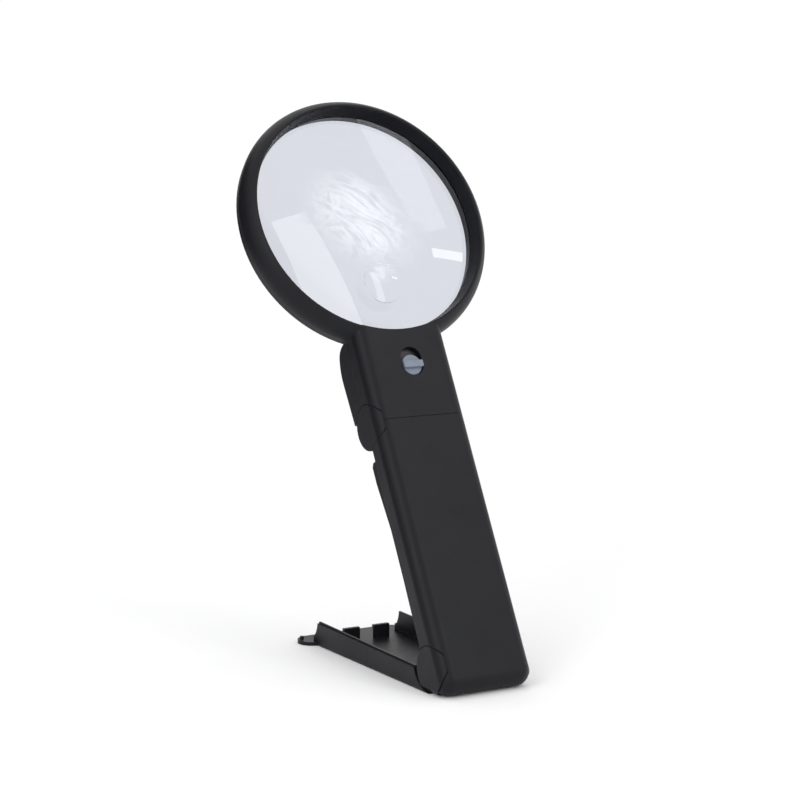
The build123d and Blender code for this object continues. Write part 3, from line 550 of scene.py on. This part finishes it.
def add_camera():
    data = bpy.data.cameras.new("camera")
    data.lens = LOOK_LENS
    data.sensor_width = SENSOR_WIDTH
    data.clip_start = 0.01
    data.clip_end = 50
    camera = in_scene("camera", data)
    back = towards(-LOOK_TURN, LOOK_RISE)
    level = Vector((cos(radians(LOOK_TURN)), -sin(radians(LOOK_TURN)), 0))
    turned = Matrix((level, back.cross(level), back)).transposed().to_4x4()
    turned = turned @ Matrix.Rotation(radians(LOOK_ROLL), 4, "Z")
    stands = LOOK_ABOUT + turned.to_3x3() @ Vector((*LOOK_ASIDE, LOOK_DISTANCE))
    camera.matrix_world = Matrix.Translation(stands) @ turned
    scene.camera = camera


FLOOR_RADIUS = 1.6
FADE_FROM = 0.25
FADE_TO = 0.95 * FLOOR_RADIUS


def add_floor():
    """A round sheet of white paper that fades into the studio's white surround."""
    mesh = bmesh.new()
    bmesh.ops.create_circle(mesh, cap_ends=True, segments=96, radius=FLOOR_RADIUS)
    data = to_data(mesh, "floor")
    floor = in_scene("floor", data)

    def links(tree):
        paper = noise(tree, 30 * MM, 3.0)
        where = add_node(tree, "ShaderNodeTexCoord").outputs["Object"]
        away = add_node(tree, "ShaderNodeVectorMath", {0: where}, operation="LENGTH")
        faded = mapped(tree, away.outputs["Value"], 1.0, 0.0, FADE_FROM, FADE_TO)
        return {
            "Base Color": blended(tree, paper, (0.93, 0.93, 0.935), (0.94, 0.94, 0.945)),
            "Roughness": mapped(tree, paper, 0.75, 0.85),
            "Alpha": faded,
        }

    data.materials.append(new_material("floor_paper", {"Specular IOR Level": 0.2}, links))


def aimed(at, aim, roll=0.0):
    """A matrix at a point whose -Z looks at another, rolled by degrees."""
    turn = (at - aim).to_track_quat("Z", "Y").to_matrix().to_4x4()
    return Matrix.Translation(at) @ turn @ Matrix.Rotation(radians(roll), 4, "Z")


def add_light(name, at, aim, size, radiance, roll=0.0, through_lens=True):
    """A rectangular soft light of an even brightness; the white surround's is 1."""
    data = bpy.data.lights.new(name, "AREA")
    data.shape = "RECTANGLE"
    data.size, data.size_y = size
    data.energy = radiance * pi * size[0] * size[1]
    light = in_scene(name, data)
    light.matrix_world = aimed(at, aim, roll)
    light.visible_camera = False
    light.visible_transmission = through_lens


def add_card(name, size, turned):
    """A flat card seen only in reflections; its half width and half height are given."""
    mesh = bmesh.new()
    bmesh.ops.create_grid(mesh, x_segments=2, y_segments=2, size=1.0)
    bmesh.ops.scale(mesh, vec=(*size, 1), verts=mesh.verts)
    card = in_scene(name, to_data(mesh, name))
    card.matrix_world = turned
    card.visible_camera = False
    card.visible_diffuse = False
    card.visible_shadow = False
    return card


def add_crumpled_reflector(at, aim, size, radiance, roll):
    """A crumpled reflector: bright creases on a dim sheet with a ragged, soft edge."""
    card = add_card("crumpled_reflector", (size, size), aimed(at, aim, roll))
    material = bpy.data.materials.new("crumpled_reflector")
    material.use_nodes = True
    tree = material.node_tree
    tree.nodes.remove(tree.nodes["Principled BSDF"])
    fold = noise(tree, 0.55 * size, 6.0, 0.62, stretch=(1.0, 0.6, 1.0), distortion=2.0)
    ridge = maths(tree, "ABSOLUTE", maths(tree, "SUBTRACT", fold, 0.5))
    creases = mapped(tree, ridge, 1.0, 0.0, 0.0, 0.10)
    where = add_node(tree, "ShaderNodeTexCoord").outputs["Object"]
    away = add_node(tree, "ShaderNodeVectorMath", {0: where}, operation="LENGTH")
    wander = mapped(tree, fold, -0.4 * size, 0.4 * size, 0.3, 0.7)
    ragged = maths(tree, "ADD", away.outputs["Value"], wander)
    cover = mapped(tree, ragged, 1.0, 0.0, 0.45 * size, 0.85 * size)
    glow = maths(tree, "MULTIPLY", maths(tree, "ADD", creases, 0.45), radiance)
    lit = add_node(tree, "ShaderNodeEmission", {"Strength": glow})
    clear = add_node(tree, "ShaderNodeBsdfTransparent")
    values = {0: cover, 1: clear.outputs[0], 2: lit.outputs[0]}
    mixed = add_node(tree, "ShaderNodeMixShader", values)
    tree.links.new(mixed.outputs[0], tree.nodes["Material Output"].inputs["Surface"])
    card.data.materials.append(material)


def add_dark_card(at, aim, size):
    """A dark card behind and to the left, which the object's left sides mirror."""
    card = add_card("dark_card", size, aimed(at, aim))
    card.visible_transmission = False
    card.data.materials.append(MATERIALS["black_inner"])


WORLD_BRIGHTNESS = 1.02


def add_world():
    world = bpy.data.worlds.new("studio")
    world.use_nodes = True
    background = world.node_tree.nodes["Background"]
    background.inputs["Color"].default_value = (1, 1, 1, 1)
    background.inputs["Strength"].default_value = WORLD_BRIGHTNESS
    scene.world = world


lens_centre = middle("lens")
add_world()
add_floor()
add_camera()
# Lights, placed by their direction from the lens, which mirrors the first two and the
# crumpled sheet. The strip stands upright, from below the lens to 50 degrees above it.
# The bank lights the left front edges.
STRIP_TURN = 19.8
STRIP_DISTANCE = 1.0
STRIP_WIDTH = 0.20
STRIP_HEIGHT = 1.24
STRIP_BELOW = 0.05  # its lower end, below the lens
strip_out = towards(STRIP_TURN, 0)
strip_rise = Vector((0, 0, STRIP_HEIGHT / 2 - STRIP_BELOW))
strip_at = lens_centre + strip_out * STRIP_DISTANCE + strip_rise
add_light("strip", strip_at, strip_at - strip_out, (STRIP_WIDTH, STRIP_HEIGHT), 2.6)

slit_at = lens_centre + towards(56.5, 31) * 1.2
add_light("slit", slit_at, lens_centre, (0.19, 0.036), 5.0, roll=148, through_lens=False)

bank_at = lens_centre + towards(-60, 28) * 1.1
add_light("left_bank", bank_at, lens_centre, (0.34, 0.8), 2.6)

reflector_at = lens_centre + towards(39, 45.5) * 1.1
add_crumpled_reflector(reflector_at, lens_centre, size=0.23, radiance=3.4, roll=40)

dark_card_at = towards(-140, 0) * 0.75 + Vector((0, 0, 0.25))
add_dark_card(dark_card_at, lens_centre, (0.55, 0.45))
